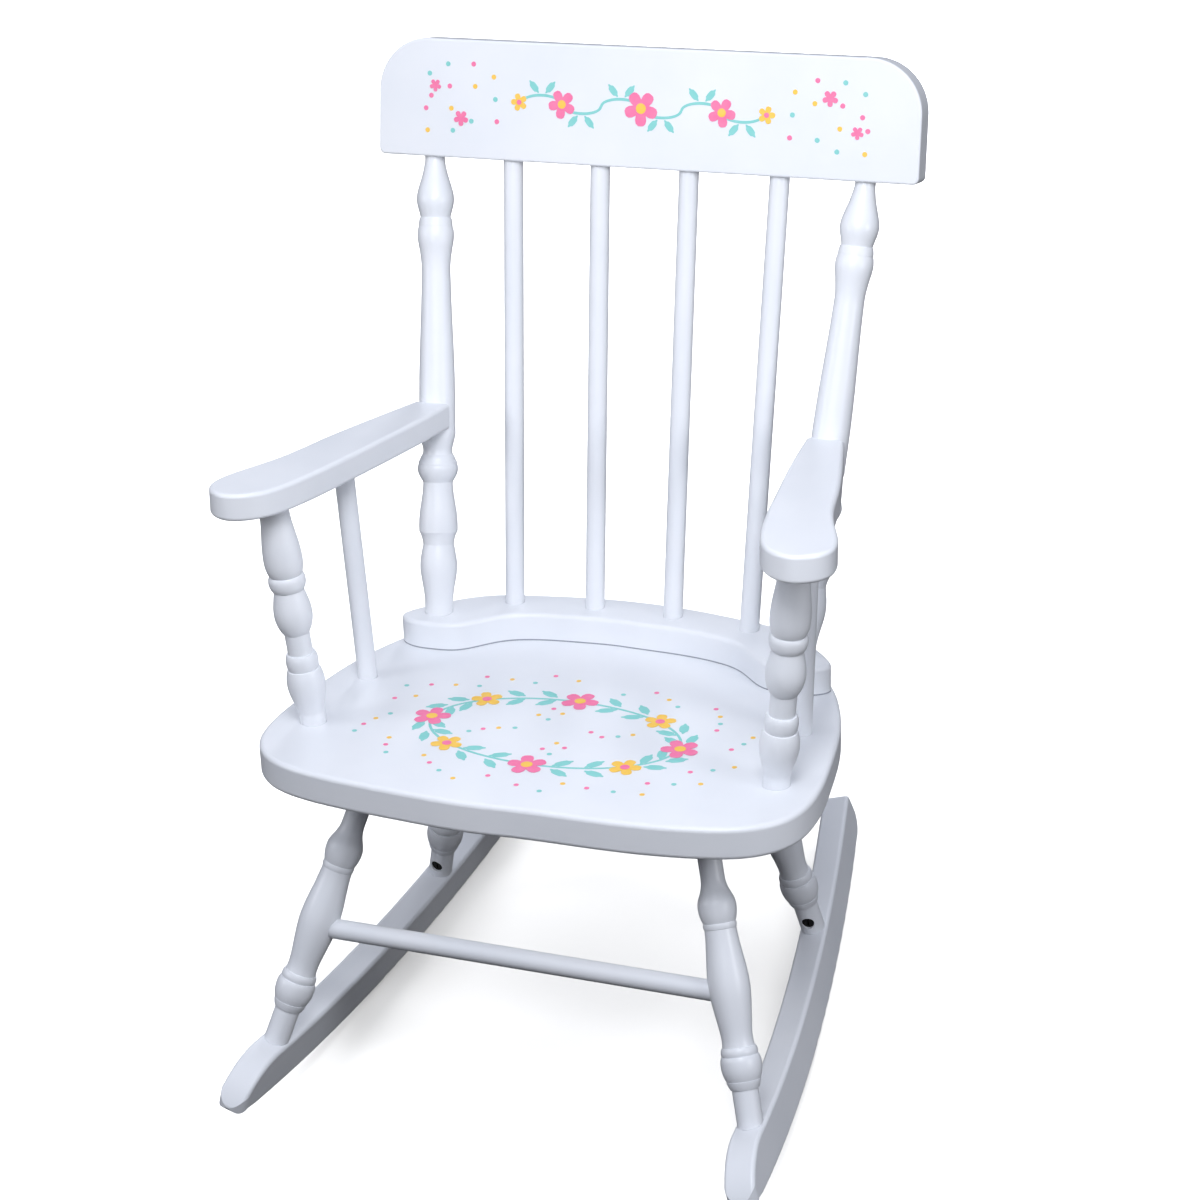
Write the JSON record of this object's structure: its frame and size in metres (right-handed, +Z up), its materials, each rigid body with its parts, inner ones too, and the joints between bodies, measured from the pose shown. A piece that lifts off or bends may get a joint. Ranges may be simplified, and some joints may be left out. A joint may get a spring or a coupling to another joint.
{
  "type": "child's rocking chair",
  "caption": "Child's wooden rocking chair, painted white: turned posts and legs, spindle back with a broad crest rail, paddle arms, rounded seat board and bent-arc rockers.",
  "frame": {"origin": "on the floor, under the middle of the chair's bounding box", "axes": "+X to the right as seen from the front, +Y to the chair's back, +Z up from the floor"},
  "size_m": [0.3856, 0.4654, 0.5651],
  "materials": {
    "paint": "satin cool-white paint on hardwood",
    "steel": "zinc-plated steel"
  },
  "bodies": {
    "root": {"seat_board": "paint", "back_bow": "paint", "crest_rail": "paint", "back_post_left": "paint", "back_post_right": "paint", "back_spindle_1": "paint", "back_spindle_2": "paint", "back_spindle_3": "paint", "back_spindle_4": "paint", "arm_spindle_left": "paint", "arm_spindle_right": "paint", "armrest_left": "paint", "armrest_right": "paint", "arm_post_left": "paint", "arm_post_right": "paint", "rocker_left": "paint", "rocker_right": "paint", "leg_front_left": "paint", "leg_front_right": "paint", "leg_rear_left": "paint", "leg_rear_right": "paint", "front_stretcher": "paint", "rocker_bolts": "steel", "barrel_nuts": "steel", "bow_screws": "steel", "arm_screws": "steel"}
  },
  "joints": []
}
